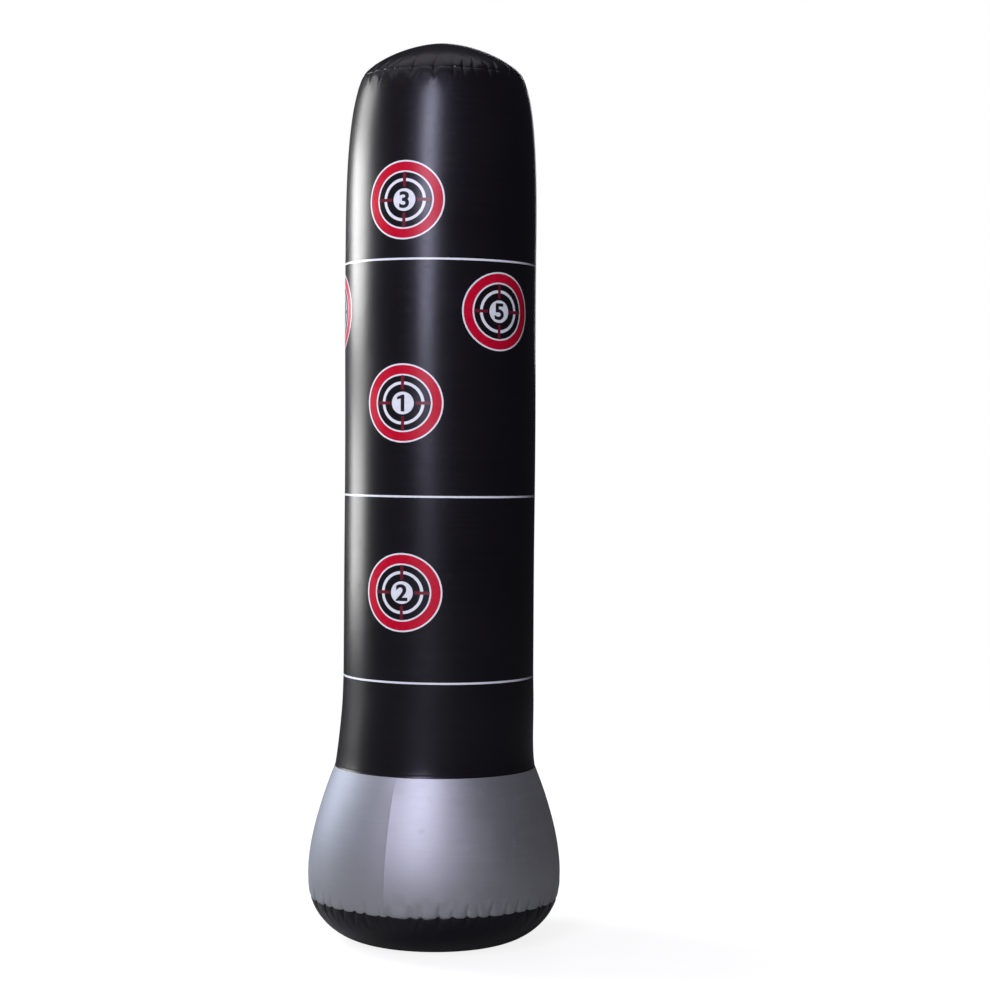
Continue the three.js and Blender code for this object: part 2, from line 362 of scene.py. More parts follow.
def seam_line(folds, away, angles, radius, lift, reach):
    """Shift along the outline that scallops a round weld's line."""
    at_seam = valleys(folds, [0], angles, [radius], reach, 0)[0]
    slow = 0.4 * np.sin(3 * angles + 1.1) + 0.3 * np.sin(8 * angles + 4.0)
    wander = lift * (at_seam - at_seam.mean()) + 0.9 * MM * slow
    return wander[None, :] * np.exp(-np.asarray(away) / (9 * MM))[:, None]


top_folds = make_folds(seed=11, count=40, width=3.6 * MM, lean_most=0.35)
bottom_folds = make_folds(seed=23, count=54, width=3.4 * MM, lean_most=0.3)
# For seam_line: the weld's radius, how far its scallops go, and their reach.
TOP_LINE = (SEAM_TOP[0] * MM, 0.7 * MM, 13 * MM)
BOTTOM_LINE = (SEAM_BOTTOM[0] * MM, 2.6 * MM, 17 * MM)

# ---- meshes from grids of points


@contextlib.contextmanager
def editing(mesh):
    work = bmesh.new()
    work.from_mesh(mesh)
    yield work
    work.to_mesh(mesh)
    work.free()


def object_from(work, name):
    """A new object with the mesh that work holds."""
    mesh = bpy.data.meshes.new(name)
    work.to_mesh(mesh)
    work.free()
    return add_object(name, mesh)


def spaced(length, coarse, spots=()):
    """Places along a length, coarse apart, and closer near each spot: (place, step, half width)."""
    s = np.linspace(0, length, 6000)
    step = np.full_like(s, coarse)
    for place, fine, hold in spots:
        step = np.minimum(step, fine + 0.3 * np.maximum(0, np.abs(s - place) - hold))
    middles = (step[1:] + step[:-1]) / 2
    count = np.concatenate([[0], np.cumsum((s[1] - s[0]) / middles)])
    total = max(2, math.ceil(count[-1]))
    return np.interp(np.linspace(0, count[-1], total + 1), count, s)


def sheet_grid(outline, s, angles, out, along=0):
    """Points of a sheet, one row for each place on the outline and one column for each angle."""
    point, tangent = outline.at(s), outline.tangent(s)
    radius = point[:, 0][:, None] + out * tangent[:, 1][:, None] + along * tangent[:, 0][:, None]
    z = point[:, 1][:, None] - out * tangent[:, 0][:, None] + along * tangent[:, 1][:, None]
    radius = np.maximum(radius * np.ones((1, len(angles))), 0)
    z = z * np.ones((1, len(angles)))
    return np.stack([radius * np.cos(angles), radius * np.sin(angles), z], axis=2)


def with_lip(grid, outline, angles, at_end):
    """The grid with one more row: the welded lip that turns into the bag beside the seam."""
    tangent = outline.tangent([outline.length if at_end else 0])[0]
    inward = np.full((len(angles), 3), tangent[0])
    inward[:, 0] = -tangent[1] * np.cos(angles)
    inward[:, 1] = -tangent[1] * np.sin(angles)
    row = grid[-1 if at_end else 0] + LIP * inward
    return np.concatenate([grid, row[None]] if at_end else [row[None], grid])


def grid_object(name, grid, closed, u, v):
    """A mesh over a grid of points, with its place on the flat sheet, in metres, as its UV map."""
    rows, columns = grid.shape[:2]
    last = columns if closed else columns - 1
    i, j = (a.ravel() for a in np.meshgrid(np.arange(rows - 1), np.arange(last), indexing="ij"))
    k = (j + 1) % columns
    below, above = i * columns, (i + 1) * columns
    faces = np.stack([below + j, below + k, above + k, above + j], axis=1)
    mesh = bpy.data.meshes.new(name)
    mesh.from_pydata(grid.reshape(-1, 3).tolist(), [], faces.tolist())
    if u is None:  # a disc: the flat sheet is the disc seen from above
        flat = grid[:, :, :2].reshape(-1, 2)[faces.ravel()]
    else:
        across = u[np.stack([j, j + 1, j + 1, j], axis=1)]
        up = v[np.stack([i, i, i + 1, i + 1], axis=1)]
        flat = np.stack([across, up], axis=2)
    layer = mesh.uv_layers.new(name="sheet")
    layer.data.foreach_set("uv", flat.astype(np.float32).ravel())
    piece = add_object(name, mesh)
    close_poles(piece, rows, columns)
    shade_smooth(piece)
    return piece


def close_poles(piece, rows, columns):
    """Merges a first or last row whose points all lie on the axis."""
    with editing(piece.data) as work:
        work.verts.ensure_lookup_table()
        for start in (0, (rows - 1) * columns):
            row = [work.verts[start + c] for c in range(columns)]
            if (row[0].co - row[columns // 2].co).length < 1e-6:
                bmesh.ops.remove_doubles(work, verts=row, dist=1e-5)
                break


def shade_smooth(piece):
    piece.data.polygons.foreach_set("use_smooth", [True] * len(piece.data.polygons))


def shade_by_angle(piece, degrees=35):
    """Smooth shading, with sharp edges where two faces meet at more than an angle."""
    shade_smooth(piece)
    limit = math.radians(degrees)
    with editing(piece.data) as work:
        for edge in work.edges:
            edge.smooth = len(edge.link_faces) == 2 and edge.calc_face_angle() < limit


def apply_modifiers(piece):
    graph = bpy.context.evaluated_depsgraph_get()
    mesh = bpy.data.meshes.new_from_object(piece.evaluated_get(graph))
    piece.modifiers.clear()
    piece.data = mesh
    mesh.name = piece.name


def thicken(piece, thickness):
    """Gives a skin its sheet thickness, towards the inside."""
    solid = piece.modifiers.new("thickness", "SOLIDIFY")
    solid.thickness = thickness
    solid.offset = -1
    solid.use_even_offset = False
    apply_modifiers(piece)


def cut_hole(piece, valve):
    """Opens a round hole in a skin for a valve's collar."""
    frame_of = valve_matrix(valve)
    into = frame_of.inverted()
    radius = (valve["collar"] + 0.5) * MM
    with editing(piece.data) as work:
        place = {v: into @ v.co for v in work.verts}
        near = [v for v, p in place.items() if p.z > -VALVE_SIDE and p.xy.length < 2 * radius]
        gone = [v for v in near if place[v].xy.length < radius]
        kept = {v for v in near if place[v].xy.length >= radius}
        for v in {v for g in gone for f in g.link_faces for v in f.verts if v in kept}:
            p = place[v].copy()
            p.xy *= radius / p.xy.length
            v.co = frame_of @ p
        bmesh.ops.delete(work, geom=gone, context="VERTS")


# ---- materials


class Paint:
    """Builds one procedural material."""

    def __init__(self, name, **inputs):
        self.material = bpy.data.materials.new(name)
        self.material.use_nodes = True
        self.nodes = self.material.node_tree.nodes
        self.links = self.material.node_tree.links
        self.shader = self.nodes["Principled BSDF"]
        for key, value in inputs.items():
            self.shader.inputs[key.replace("_", " ")].default_value = value

    def node(self, kind, **settings):
        made = self.nodes.new("ShaderNode" + kind)
        for key, value in settings.items():
            setattr(made, key, value)
        return made

    def on_sheet(self, across, up):
        """Coordinates on the flat sheet, scaled round the bag and up it."""
        uv = self.node("UVMap", uv_map="sheet")
        mapping = self.node("Mapping")
        mapping.inputs["Scale"].default_value = (across, up, 1)
        self.links.new(uv.outputs["UV"], mapping.inputs["Vector"])
        return mapping.outputs["Vector"]

    def in_space(self):
        return self.node("TexCoord").outputs["Object"]

    def noise(self, where, scale, detail=2.0, roughness=0.5, distortion=0.0):
        made = self.node("TexNoise")
        made.inputs["Scale"].default_value = scale
        made.inputs["Detail"].default_value = detail
        made.inputs["Roughness"].default_value = roughness
        made.inputs["Distortion"].default_value = distortion
        self.links.new(where, made.inputs["Vector"])
        return made.outputs["Fac"]

    def cells(self, where, scale):
        made = self.node("TexVoronoi", feature="F1")
        made.inputs["Scale"].default_value = scale
        self.links.new(where, made.inputs["Vector"])
        return made.outputs["Distance"]

    def ranged(self, value, low, high, at_low, at_high):
        made = self.node("MapRange")
        ends = {"From Min": low, "From Max": high, "To Min": at_low, "To Max": at_high}
        for key, number in ends.items():
            made.inputs[key].default_value = number
        self.links.new(value, made.inputs["Value"])
        return made.outputs["Result"]

    def maths(self, operation, a, b):
        made = self.node("Math", operation=operation)
        for socket, value in zip(made.inputs, (a, b)):
            if isinstance(value, (int, float)):
                socket.default_value = value
            else:
                self.links.new(value, socket)
        return made.outputs["Value"]

    def times(self, a, b):
        return self.maths("MULTIPLY", a, b)

    def blended(self, share, dark, light):
        made = self.node("Mix", data_type="RGBA")
        self.links.new(share, made.inputs["Factor"])
        for key, color in (("A", dark), ("B", light)):
            sockets = [s for s in made.inputs if s.name == key and s.type == "RGBA"]
            if isinstance(color, tuple):
                sockets[0].default_value = (*color, 1)
            else:
                self.links.new(color, sockets[0])
        return next(s for s in made.outputs if s.type == "RGBA")

    def bump(self, height, distance):
        """Adds a bump over what the shader's normal already has."""
        made = self.node("Bump")
        made.inputs["Distance"].default_value = distance
        made.inputs["Strength"].default_value = 1
        self.links.new(height, made.inputs["Height"])
        old = self.shader.inputs["Normal"].links
        if old:
            self.links.new(old[0].from_socket, made.inputs["Normal"])
        self.links.new(made.outputs["Normal"], self.shader.inputs["Normal"])

    def set(self, key, socket):
        self.links.new(socket, self.shader.inputs[key])


def vinyl(name, dark, light, roughness, flakes=0.0, **inputs):
    """Calendered PVC sheet: faint streaks round the bag, fine grain, and gloss that varies a little."""
    paint = Paint(name, **inputs)
    plain = paint.on_sheet(1, 1)
    cloud = paint.noise(plain, 7, 3, 0.55)
    streak = paint.noise(paint.on_sheet(5, 210), 1, 3, 0.6)
    fine = paint.noise(plain, 620, 3, 0.6)
    scuff = paint.noise(plain, 55, 4, 0.7, 0.6)
    cloud_share = paint.times(cloud, 0.55)
    mixed = paint.maths("ADD", cloud_share, paint.times(streak, 0.45))
    color = paint.blended(paint.ranged(mixed, 0.32, 0.68, 0, 1), dark, light)
    if flakes:
        flake = paint.ranged(paint.cells(plain, 1400), 0.05, 0.42, 1, 0)
        shine = tuple(min(1, 1.7 * c) for c in light)
        color = paint.blended(paint.times(flake, flakes), color, shine)
    paint.set("Base Color", color)
    low, high = roughness
    worn = paint.times(paint.ranged(scuff, 0.58, 0.75, 0, 1), 0.09)
    gloss = paint.ranged(mixed, 0.3, 0.7, low, high)
    paint.set("Roughness", paint.maths("ADD", gloss, worn))
    paint.bump(streak, 0.045 * MM)
    paint.bump(fine, 0.03 * MM)
    paint.bump(paint.noise(plain, 38, 2), 0.10 * MM)
    return paint.material


def ink(name, dark, light, roughness, **inputs):
    """Screen ink on the sheet: it shows the sheet's grain, with a few thin places."""
    paint = Paint(name, **inputs)
    plain = paint.on_sheet(1, 1)
    thin = paint.noise(plain, 120, 4, 0.65)
    paint.set("Base Color", paint.blended(paint.ranged(thin, 0.3, 0.62, 0, 1), dark, light))
    patches = paint.noise(plain, 30, 3)
    paint.set("Roughness", paint.ranged(patches, 0.3, 0.7, roughness - 0.04, roughness + 0.05))
    paint.bump(paint.noise(paint.on_sheet(5, 210), 1, 3, 0.6), 0.045 * MM)
    paint.bump(paint.noise(plain, 900, 2), 0.03 * MM)
    return paint.material


def moulded(name, dark, light, roughness, grain, size=0.05, **inputs):
    """Injection moulded plastic or rubber: spark-eroded grain, flow marks and paler rubbed edges."""
    paint = Paint(name, **inputs)
    where = paint.in_space()
    flow = paint.noise(where, 60, 3, 0.6, 1.2)
    edges = paint.ranged(paint.node("NewGeometry").outputs["Pointiness"], 0.5, 0.62, 0, 1)
    share = paint.maths("ADD", paint.ranged(flow, 0.35, 0.7, 0, 0.6), paint.times(edges, 0.4))
    paint.set("Base Color", paint.blended(share, dark, light))
    patches = paint.noise(where, 150, 3)
    paint.set("Roughness", paint.ranged(patches, 0.3, 0.7, roughness - 0.05, roughness + 0.08))
    paint.bump(paint.noise(where, grain, 3, 0.7), size * MM)
    return paint.material


black_vinyl = vinyl(
    "black_vinyl", (0.0042, 0.0036, 0.0048), (0.0068, 0.006, 0.008), (0.275, 0.33), IOR=1.5
)
grey_vinyl = vinyl(
    "grey_vinyl", (0.64, 0.65, 0.64), (0.71, 0.725, 0.715), (0.55, 0.61), flakes=0.3, Metallic=0.96
)
ink_white = ink("ink_white", (0.65, 0.67, 0.71), (0.74, 0.76, 0.8), 0.3)
ink_red = ink("ink_red", (0.42, 0.0015, 0.015), (0.5, 0.003, 0.026), 0.34, Specular_IOR_Level=0.3)
ink_dark_red = ink("ink_dark_red", (0.1, 0.006, 0.014), (0.16, 0.01, 0.022), 0.34)
ink_black = ink("ink_black", (0.006, 0.006, 0.008), (0.012, 0.012, 0.015), 0.32)
natural_vinyl = moulded(
    "natural_vinyl", (0.42, 0.44, 0.47), (0.6, 0.62, 0.65), 0.36, 700, 0.03,
    Transmission_Weight=0.25, IOR=1.5,
)
valve_plastic = moulded("valve_plastic", (0.010, 0.010, 0.012), (0.045, 0.045, 0.05), 0.42, 2600, 0.06)
seal_rubber = moulded("seal_rubber", (0.02, 0.02, 0.021), (0.05, 0.05, 0.052), 0.72, 1500, 0.08)
water_clear = moulded(
    "water", (0.3, 0.47, 0.55), (0.45, 0.62, 0.7), 0.08, 12, 0.6, Transmission_Weight=0.8, IOR=1.33
)

# ---- skin

top_weld = Weld(
    column_outline, top_outline, top_folds, columns=320, excess=0.05, pinch=0.5 * MM
)
bottom_weld = Weld(
    bottom_outline, base_outline, bottom_folds, columns=480, excess=0.06, pinch=1.3 * MM
)

GORE_RIDGE = 1.3 * MM  # the doubled sheet of a gore's seam stands up a little
GORE_REACH = 14 * MM
BELLY = 200 * MM  # the radius at which the gores' flat width is measured


def column_shift(s, angles):
    """How far the column's sheet strays outwards and along its outline."""
    z = column_outline.at(s)[:, 1]
    away = column_outline.length - s
    shift, along = top_weld.shift(-away, angles)
    shift += ripple(angles[None, :], z[:, None])
    shift += valve_weld(VALVES["air_valve"], lean(sheet_grid(column_outline, s, angles, 0)))
    from_weld_line = np.abs(s - 3.2 * MM)
    shift -= 0.16 * MM * (1 - fade(from_weld_line, 1.3 * MM, 2.0 * MM))[:, None]
    return shift, along


def finish_sheet(piece, material, slot, *nodes):
    piece.data.materials.append(material)
    thicken(piece, SHEET)
    shade_by_angle(piece, 50)
    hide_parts(*nodes)


def make_column():
    """The rolled sheet, whose edge laps under itself at the rear, off the valve."""
    start = math.radians(-150) + FRONT
    turn = 2 * math.pi * COLUMN_R
    spots = ((0, 0.5 * MM, 0), (turn, 0.5 * MM, 0))
    round_it = spaced(turn + LAP, 2.5 * MM, spots)
    angles = start + round_it / COLUMN_R
    valve_at = column_outline.place_of(VALVES["air_valve"]["z"])
    length = column_outline.length
    spots = ((0, 0.5 * MM, 5 * MM), (length, 0.6 * MM, 0), (valve_at, 3 * MM, 32 * MM))
    s = spaced(length, 14 * MM, spots)
    shift, along = column_shift(s, angles)
    shift -= LAP_DROP * fade(round_it, turn, turn + 0.4 * MM)[None, :]
    along += seam_line(top_folds, length - s, angles, *TOP_LINE)
    grid = sheet_grid(column_outline, s, angles, shift, along)
    grid = lean(with_lip(grid, column_outline, angles, True))
    v = np.append(s, length + LIP)
    piece = grid_object("column_skin", grid, False, round_it, v)
    cut_hole(piece, VALVES["air_valve"])
    finish_sheet(piece, black_vinyl, "black_vinyl", "column_panel", "neck_panel")
    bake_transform(piece)


def make_top():
    angles = FRONT + np.arange(400) * 2 * math.pi / 400
    s = spaced(top_outline.length, 4 * MM, ((0, 0.6 * MM, 0),))
    radius = top_outline.at(s)[:, 0]
    shift, along = top_weld.shift(s, angles)
    along += seam_line(top_folds, s, angles, *TOP_LINE)
    calm = fade(radius, 0.01, 0.05)[:, None]
    grid = sheet_grid(top_outline, s, angles, shift * calm, along * calm)
    grid = lean(with_lip(grid, top_outline, angles, False))
    piece = grid_object("top_skin", grid, True, None, None)
    finish_sheet(piece, black_vinyl, "black_vinyl", "top_panel")
    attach(piece, "column")


BASE_WALL = Outline(base_outline.points, column_outline.points[column_outline.along <= LAP])


def make_gore(name, third):
    """One third of the base wall, which laps under the gore before it and under the column."""
    start = FRONT + third * 2 * math.pi / 3
    width = BELLY * 2 * math.pi / 3
    round_it = spaced(width + LAP, 2.6 * MM, ((LAP, 0.5 * MM, 0), (width + LAP, 0.5 * MM, 0))) - LAP
    angles = start + round_it / BELLY
    neck_at = base_outline.length
    valve_at = base_outline.place_of(VALVES["water_valve"]["z"])
    spots = [(0, 0.6 * MM, 0), (neck_at, 0.5 * MM, 1 * MM)]
    if third == 1:
        spots.append((valve_at, 3 * MM, 38 * MM))
    s = spaced(BASE_WALL.length, 6 * MM, spots)
    radius = BASE_WALL.at(s)[:, 0]
    shift, along = bottom_weld.shift(s, angles)
    shift += base_ripple(angles[None, :], BASE_WALL.at(s)[:, 1][:, None])
    calm = fade(neck_at - s, 3 * MM, 50 * MM)[:, None]
    from_seams = np.minimum(np.abs(round_it), width - round_it)[None, :] * (radius / BELLY)[:, None]
    shift += GORE_RIDGE * calm * np.exp(-from_seams / GORE_REACH)
    shift -= LAP_DROP * (1 - fade(round_it, -0.4 * MM, 0))[None, :]
    shift -= LAP_DROP * fade(s, neck_at - 0.3 * MM, neck_at + 0.3 * MM)[:, None]
    shift += valve_weld(VALVES["water_valve"], sheet_grid(BASE_WALL, s, angles, 0))
    along += seam_line(bottom_folds, s, angles, *BOTTOM_LINE)
    grid = sheet_grid(BASE_WALL, s, angles, shift, along)
    grid = lean(with_lip(grid, BASE_WALL, angles, False))
    piece = grid_object(f"{name}_skin", grid, False, round_it, np.insert(s, 0, -LIP))
    if third == 1:
        cut_hole(piece, VALVES["water_valve"])
    finish_sheet(piece, grey_vinyl, "grey_vinyl", name)
    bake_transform(piece)


def base_ripple(angle, z):
    """Shallow unevenness of the base wall."""
    waves = np.sin(4 * angle + 9 * z + 0.6) + 0.7 * np.sin(7 * angle - 14 * z + 2.2)
    return 0.3 * MM * waves * (1 - fade(z, NECK_Z - 0.09, NECK_Z))


def make_bottom():
    angles = FRONT + np.arange(540) * 2 * math.pi / 540
    length = bottom_outline.length
    s = spaced(length, 6 * MM, ((length, 0.6 * MM, 0),))
    radius = bottom_outline.at(s)[:, 0]
    away = length - s
    shift, along = bottom_weld.shift(-away, angles)
    along += seam_line(bottom_folds, away, angles, *BOTTOM_LINE)
    calm = fade(radius, 0.06, 0.15)[:, None]
    grid = sheet_grid(bottom_outline, s, angles, shift * calm, along * calm)
    grid[:, :, 2] = np.maximum(grid[:, :, 2], 0)
    grid = with_lip(grid, bottom_outline, angles, True)
    piece = grid_object("bottom_skin", grid, True, None, None)
    finish_sheet(piece, black_vinyl, "black_vinyl", "bottom_panel")
    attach(piece, "base")


def make_water():
    """The water, up to its level, clear of the gathered sheets and of the welded lips."""
    level = frame["nodes"]["water_ballast"]
    top = max((level.matrix_world @ Vector(corner)).z for corner in level.bound_box)
    wet = base_outline.points[base_outline.points[:, 1] < top]
    edge = base_outline.at([base_outline.place_of(top)])
    wall = Outline(bottom_outline.points, wet, np.vstack([wet[-1:], edge]))
    s = spaced(wall.length, 8 * MM, ((bottom_outline.length, 2 * MM, 0),))
    angles = FRONT + np.arange(96) * 2 * math.pi / 96
    inset = 1.5 * MM + 6.5 * MM * np.exp(-np.abs(s - bottom_outline.length) / (25 * MM))
    grid = sheet_grid(wall, s, angles, -inset[:, None] * np.ones((1, len(angles))))
    grid[-1, :, 2] = top
    grid = np.concatenate([grid, np.zeros((1, len(angles), 3)) + (0, 0, top)])
    piece = grid_object("water_body", grid, True, None, None)
    with editing(piece.data) as work:
        bmesh.ops.remove_doubles(work, verts=work.verts[:], dist=1e-5)
        bmesh.ops.recalc_face_normals(work, faces=work.faces[:])
    piece.data.materials.append(water_clear)
    shade_by_angle(piece, 40)
    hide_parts("water_ballast")
    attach(piece, "base")


make_column()
make_top()
for name, third in (("base_gore_left", -1), ("base_gore_right", 0), ("base_gore_rear", 1)):
    make_gore(name, third)
make_bottom()
make_water()

# ---- printed targets and lines

INK_LIFT = 0.16 * MM
SECOND_LIFT = 0.3 * MM
INK = 0.1 * MM
TARGET_R = 66.5 * MM
HOOP_STRETCH = 1.055  # the sheet swells more round the bag than along it
TARGETS = {  # each one's turn from the front, in degrees, and its height, in metres
    "1": (0, 0.9311), "2": (0, 0.6128), "3": (0, 1.2715),
    "4": (-68, 1.090), "5": (59, 1.0871), "6": (137, 1.2715),
}
WHITE, RED, DARK_RED, BLACK = range(4)
# From and to, as shares of a target's radius.
RINGS = ((0.96, 1, WHITE), (0.735, 0.96, RED), (0.695, 0.735, WHITE), (0.002, 0.285, WHITE))
BROKEN_RING = (0.47, 0.545)
RING_GAP = 4.6  # degrees each side of a tick
TICK = (0.33, 0.7, 0.04)  # from, to and half width
DIGIT_HEIGHT = 0.425  # also a share of the radius
DIGIT_WIDER = 1.1
# The 1, with its flag, about its stem's middle. Its height is 1.
ONE = ((-0.1, -0.5), (0.1, -0.5), (0.1, 0.5), (-0.03, 0.5), (-0.31, 0.36), (-0.31, 0.21), (-0.1, 0.27))


def on_column(angle, z, lift):
    """Points on the column's sheet at a lift over it."""
    s = np.interp(z, column_outline.points[:, 1], column_outline.along)
    point, tangent = column_outline.at(s), column_outline.tangent(s)
    out = ripple(angle, z) + lift
    radius = point[:, 0] + out * tangent[:, 1]
    points = np.stack([radius * np.cos(angle), radius * np.sin(angle), z - out * tangent[:, 0]], axis=1)
    return lean(points)


def letter_mesh(character):
    curve = bpy.data.curves.new("digit", "FONT")
    curve.body = character
    curve.offset = 0.028
    letter = add_object("digit", curve)
    graph = bpy.context.evaluated_depsgraph_get()
    mesh = bpy.data.meshes.new_from_object(letter.evaluated_get(graph))
    bpy.data.objects.remove(letter)
    return mesh


class Print:
    """Flat ink shapes, gathered as points (x, z, lift) and faces, then wrapped on the column."""

    def __init__(self):
        self.points, self.faces, self.inks = [], [], []

    def strip(self, rows, ink_number, closed=False):
        """Faces between rows of points, all rows the same length."""
        first, count = len(self.points), len(rows[0])
        for row in rows:
            self.points.extend(row)
        for i in range(len(rows) - 1):
            for j in range(count if closed else count - 1):
                k = (j + 1) % count
                a, b = first + i * count, first + (i + 1) * count
                self.faces.append([a + j, a + k, b + k, b + j])
                self.inks.append(ink_number)

    def arc(self, inner, outer, ink_number, start=0.0, end=360.0):
        closed = end - start >= 360
        sides = max(6, round((end - start) / 3.75))
        turns = [math.radians(start + (end - start) * j / sides) for j in range(sides + (not closed))]
        steps = max(1, round((outer - inner) * TARGET_R / (5 * MM)))
        rows = []
        for i in range(steps + 1):
            r = TARGET_R * (inner + (outer - inner) * i / steps)
            rows.append([(r * math.cos(a), r * math.sin(a), INK_LIFT) for a in turns])
        self.strip(rows[::-1], ink_number, closed)

    def tick(self, quarter):
        start, end, half = TICK
        side = ((0, 1), (1, 0), (0, -1), (-1, 0))[quarter]
        ahead = ((1, 0), (0, -1), (-1, 0), (0, 1))[quarter]
        rows = []
        for along in np.linspace(start, end, 7):
            row = []
            for across in (half, -half):
                x = TARGET_R * (along * ahead[0] + across * side[0])
                z = TARGET_R * (along * ahead[1] + across * side[1])
                row.append((x, z, SECOND_LIFT))
            rows.append(row)
        self.strip(rows, DARK_RED)

    def digit(self, character):
        work = bmesh.new()
        if character == "1":
            work.faces.new([work.verts.new((x, y, 0)) for x, y in ONE])
        else:
            work.from_mesh(letter_mesh(character))
        lows = [min(v.co[k] for v in work.verts) for k in (0, 1)]
        highs = [max(v.co[k] for v in work.verts) for k in (0, 1)]
        middle = 0 if character == "1" else (lows[0] + highs[0]) / 2
        size = DIGIT_HEIGHT * TARGET_R / (highs[1] - lows[1])
        for v in work.verts:
            v.co = Vector((v.co.x - middle, v.co.y - (lows[1] + highs[1]) / 2, 0)) * size
            v.co.x *= DIGIT_WIDER
        for cut in np.arange(-12, 12.1, 2) * MM:  # so that the digit can follow the column
            everything = work.verts[:] + work.edges[:] + work.faces[:]
            bmesh.ops.bisect_plane(work, geom=everything, plane_co=(cut, 0, 0), plane_no=(1, 0, 0))
        bmesh.ops.triangulate(work, faces=work.faces[:])
        first = len(self.points)
        work.verts.index_update()
        self.points.extend((v.co.x, v.co.y, SECOND_LIFT) for v in work.verts)
        for face in work.faces:
            self.faces.append([first + v.index for v in face.verts])
            self.inks.append(BLACK)
        work.free()

    def wrap(self, name, degrees, height):
        flat = np.array(self.points)
        angle = FRONT + math.radians(degrees) + flat[:, 0] * HOOP_STRETCH / COLUMN_R
        mesh = bpy.data.meshes.new(name)
        mesh.from_pydata(on_column(angle, height + flat[:, 1], flat[:, 2]).tolist(), [], self.faces)
        for material in (ink_white, ink_red, ink_dark_red, ink_black):
            mesh.materials.append(material)
        mesh.polygons.foreach_set("material_index", self.inks)
        corners = np.empty(len(mesh.loops), int)
        mesh.loops.foreach_get("vertex_index", corners)
        layer = mesh.uv_layers.new(name="sheet")
        layer.data.foreach_set("uv", np.stack([flat[:, 0], flat[:, 1] + height], axis=1)[corners].ravel())
        piece = add_object(name, mesh)
        shade_smooth(piece)
        face_outwards(piece)
        thicken(piece, INK)
        shade_by_angle(piece, 50)
        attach(piece, "column")


def face_outwards(piece):
    """Turns over the faces that look at the bag's axis."""
    with editing(piece.data) as work:
        work.normal_update()
        wrong = [f for f in work.faces if f.normal.xy.dot(f.calc_center_median().xy) < 0]
        bmesh.ops.reverse_faces(work, faces=wrong)


def make_target(number, degrees, height):
    shape = Print()
    for inner, outer, ink_number in RINGS:
        shape.arc(inner, outer, ink_number)
    for quarter in range(4):
        shape.arc(*BROKEN_RING, WHITE, 90 * quarter + RING_GAP, 90 * quarter + 90 - RING_GAP)
        shape.tick(quarter)
    shape.digit(number)
    shape.wrap(f"target_{number}", degrees, height)


def make_line(name, height):
    """A thin white line all round."""
    shape = Print()
    round_it = np.arange(400) * 2 * math.pi * COLUMN_R / 400 / HOOP_STRETCH
    rows = [[(x, z, INK_LIFT) for x in round_it] for z in (-1.7 * MM, 0, 1.7 * MM)]
    shape.strip(rows, WHITE, closed=True)
    shape.wrap(name, 0, height)


for number, (degrees, height) in TARGETS.items():
    make_target(number, degrees, height)
for name, height in (("line_upper", 1.1727), ("line_middle", 0.7743), ("line_lower", 0.461)):
    make_line(name, height)

# ---- valves

# Heights over the bag's wall, in millimetres.
CAP_LOW, CAP_HIGH, PLUG_LOW = 6.5, 9.9, -4
LEASH_LOW, LEASH_HIGH = (0.7, 1.7), (5.2, 6.2)
# The grooves of a cap's rim, in millimetres.
GROOVES, GROOVE_DEPTH, GROOVE_WIDTH = 28, 0.55, 1.2


def turned(name, profile, sides):
    """A closed [radius, height] profile in millimetres turned round +Z."""
    turns = [2 * math.pi * j / sides for j in range(sides)]
    points = [(r * MM * math.cos(a), r * MM * math.sin(a), z * MM) for r, z in profile for a in turns]
    count = len(profile)
    faces = []
    on_axis = profile[0][0] == 0 and profile[-1][0] == 0
    for i in range(count - 1 if on_axis else count):
        n = (i + 1) % count
        for j in range(sides):
            k = (j + 1) % sides
            faces.append([i * sides + j, i * sides + k, n * sides + k, n * sides + j])
    mesh = bpy.data.meshes.new(name)
    mesh.from_pydata(points, [], faces)
    with editing(mesh) as work:
        bmesh.ops.remove_doubles(work, verts=work.verts[:], dist=1e-6)
        bmesh.ops.recalc_face_normals(work, faces=work.faces[:])
    return add_object(name, mesh)


def rounded(*corners):
    """A profile from (radius, height, round) corners, each rounded with its own radius."""
    made = []
    count = len(corners)
    for i, (x, y, size) in enumerate(corners):
        here = Vector((x, y))
        before = Vector(corners[i - 1][:2]) - here
        after = Vector(corners[(i + 1) % count][:2]) - here
        if not size:
            made.append((x, y))
            continue
        start, end = here + before.normalized() * size, here + after.normalized() * size
        for t in np.linspace(0, 1, 5):
            p = start * (1 - t) ** 2 + here * 2 * t * (1 - t) + end * t**2
            made.append((p.x, p.y))
    return made


def join(piece, other):
    """Adds another solid to the piece, and removes the other one."""
    union = piece.modifiers.new("join", "BOOLEAN")
    union.operation = "UNION"
    union.object = other
    union.solver = "EXACT"
    apply_modifiers(piece)
    bpy.data.objects.remove(other)


def rounded_box(name, size, middle, radius):
    """A box with rounded edges, in millimetres."""
    work = bmesh.new()
    bmesh.ops.create_cube(work, size=1)
    for v in work.verts:
        v.co = Vector([v.co[k] * size[k] + middle[k] for k in range(3)]) * MM
    bmesh.ops.bevel(work, geom=work.edges[:], offset=radius * MM, segments=4, profile=0.5, affect="EDGES")
    return object_from(work, name)


